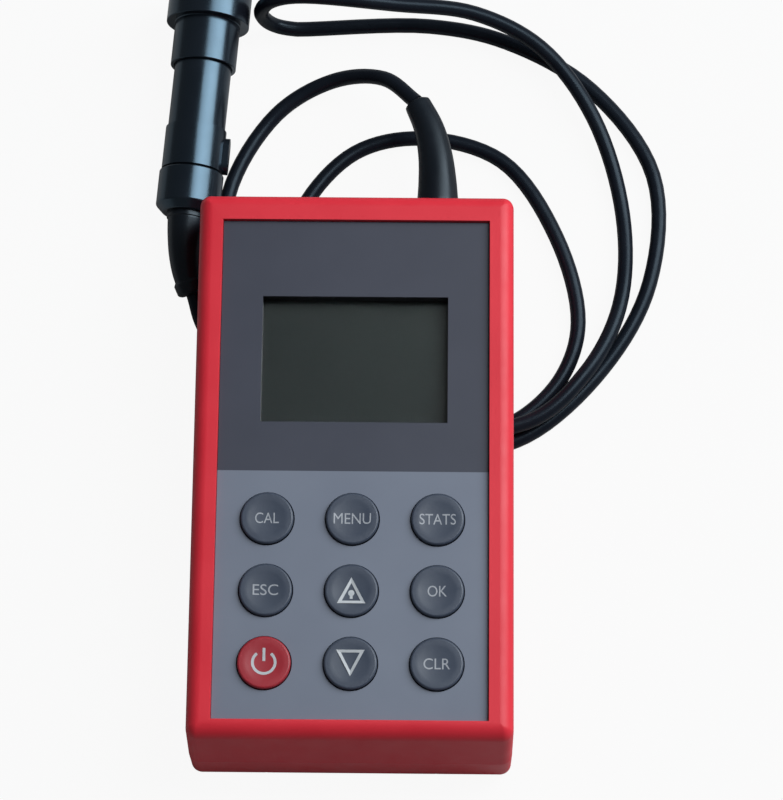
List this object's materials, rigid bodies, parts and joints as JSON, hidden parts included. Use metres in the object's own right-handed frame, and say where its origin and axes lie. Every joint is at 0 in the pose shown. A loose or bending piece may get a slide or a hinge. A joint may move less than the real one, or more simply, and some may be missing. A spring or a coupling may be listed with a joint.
{
  "type": "coating thickness gauge",
  "caption": "Flat pocket coating thickness gauge with display, round keys and battery door, wired by a limp cable to a pen-like contact probe with a sprung guide sleeve.",
  "frame": {"origin": "on the flat of the battery hump that the gauge lies on, under the middle of the case", "axes": "+X to the right of the display, +Y along the case towards the cable end, +Z out of the front face"},
  "size_m": [0.107, 0.1677, 0.025],
  "materials": {
    "case_red": "satin moulded red",
    "overlay_grey": "matt printed film in two greys",
    "clear_pane": "clear",
    "display_glass": "dark display, switched off",
    "white_plastic": "moulded white",
    "strip_rubber": "soft grey",
    "board_green": "green solder mask",
    "chip_black": "moulded black",
    "bright_steel": "plated",
    "lead_grey": "soft",
    "key_grey": "dark satin grey",
    "key_red": "dark satin red",
    "cell_jacket": "plain printed jacket",
    "screw_steel": "blackened",
    "cable_rubber": "smooth black",
    "probe_black": "satin black anodised",
    "winding": "enamelled copper wire",
    "pole_steel": "polished"
  },
  "bodies": {
    "gauge": {"front_shell": "case_red", "rear_shell": "case_red", "front_overlay": "overlay_grey", "display_window": "clear_pane", "lcd_glass": "display_glass", "lcd_frame": "white_plastic", "probe_header": "white_plastic", "lcd_connectors": "strip_rubber", "key_mat": "strip_rubber", "circuit_board": "board_green", "microcontroller": "chip_black", "signal_chip": "chip_black", "buzzer": "chip_black", "crystal": "bright_steel", "battery_springs": "bright_steel", "battery_contacts": "bright_steel", "board_screws": "bright_steel", "probe_spring": "bright_steel", "cable_lead": "lead_grey", "battery_cell_left": "cell_jacket", "battery_cell_right": "cell_jacket", "case_screws": "screw_steel", "gauge_cable_boot": "cable_rubber", "probe_cable": "cable_rubber", "probe_cable_boot": "cable_rubber", "probe_rear_cap": "probe_black", "probe_ring": "probe_black", "probe_barrel": "probe_black", "probe_coil": "winding", "probe_pole": "pole_steel"},
    "key_cal": {"key_cal": "key_grey"},
    "key_menu": {"key_menu": "key_grey"},
    "key_stats": {"key_stats": "key_grey"},
    "key_escape": {"key_escape": "key_grey"},
    "key_up": {"key_up": "key_grey"},
    "key_ok": {"key_ok": "key_grey"},
    "key_power": {"key_power": "key_red"},
    "key_down": {"key_down": "key_grey"},
    "key_clear": {"key_clear": "key_grey"},
    "battery_door": {"battery_door": "case_red"},
    "guide_sleeve": {"probe_guide_sleeve": "probe_black"}
  },
  "joints": [
    {"name": "key_cal_press", "type": "slide", "parent": "gauge", "child": "key_cal", "axis": [0, 0, -1], "range_m": [0, 0.0006], "stiffness_N_per_m": 400, "springref_m": -0.0002},
    {"name": "key_menu_press", "type": "slide", "parent": "gauge", "child": "key_menu", "axis": [0, 0, -1], "range_m": [0, 0.0006], "stiffness_N_per_m": 400, "springref_m": -0.0002},
    {"name": "key_stats_press", "type": "slide", "parent": "gauge", "child": "key_stats", "axis": [0, 0, -1], "range_m": [0, 0.0006], "stiffness_N_per_m": 400, "springref_m": -0.0002},
    {"name": "key_escape_press", "type": "slide", "parent": "gauge", "child": "key_escape", "axis": [0, 0, -1], "range_m": [0, 0.0006], "stiffness_N_per_m": 400, "springref_m": -0.0002},
    {"name": "key_up_press", "type": "slide", "parent": "gauge", "child": "key_up", "axis": [0, 0, -1], "range_m": [0, 0.0006], "stiffness_N_per_m": 400, "springref_m": -0.0002},
    {"name": "key_ok_press", "type": "slide", "parent": "gauge", "child": "key_ok", "axis": [0, 0, -1], "range_m": [0, 0.0006], "stiffness_N_per_m": 400, "springref_m": -0.0002},
    {"name": "key_power_press", "type": "slide", "parent": "gauge", "child": "key_power", "axis": [0, 0, -1], "range_m": [0, 0.0006], "stiffness_N_per_m": 400, "springref_m": -0.0002},
    {"name": "key_down_press", "type": "slide", "parent": "gauge", "child": "key_down", "axis": [0, 0, -1], "range_m": [0, 0.0006], "stiffness_N_per_m": 400, "springref_m": -0.0002},
    {"name": "key_clear_press", "type": "slide", "parent": "gauge", "child": "key_clear", "axis": [0, 0, -1], "range_m": [0, 0.0006], "stiffness_N_per_m": 400, "springref_m": -0.0002},
    {"name": "battery_door_slide", "type": "slide", "parent": "gauge", "child": "battery_door", "axis": [0, -1, 0], "range_m": [0, 0.054]},
    {"name": "guide_sleeve_slide", "type": "slide", "parent": "gauge", "child": "guide_sleeve", "axis": [-0.0784, -0.9957, -0.0491], "range_m": [0, 0.003], "stiffness_N_per_m": 500, "springref_m": -0.001, "deforming": ["probe_spring"]}
  ]
}
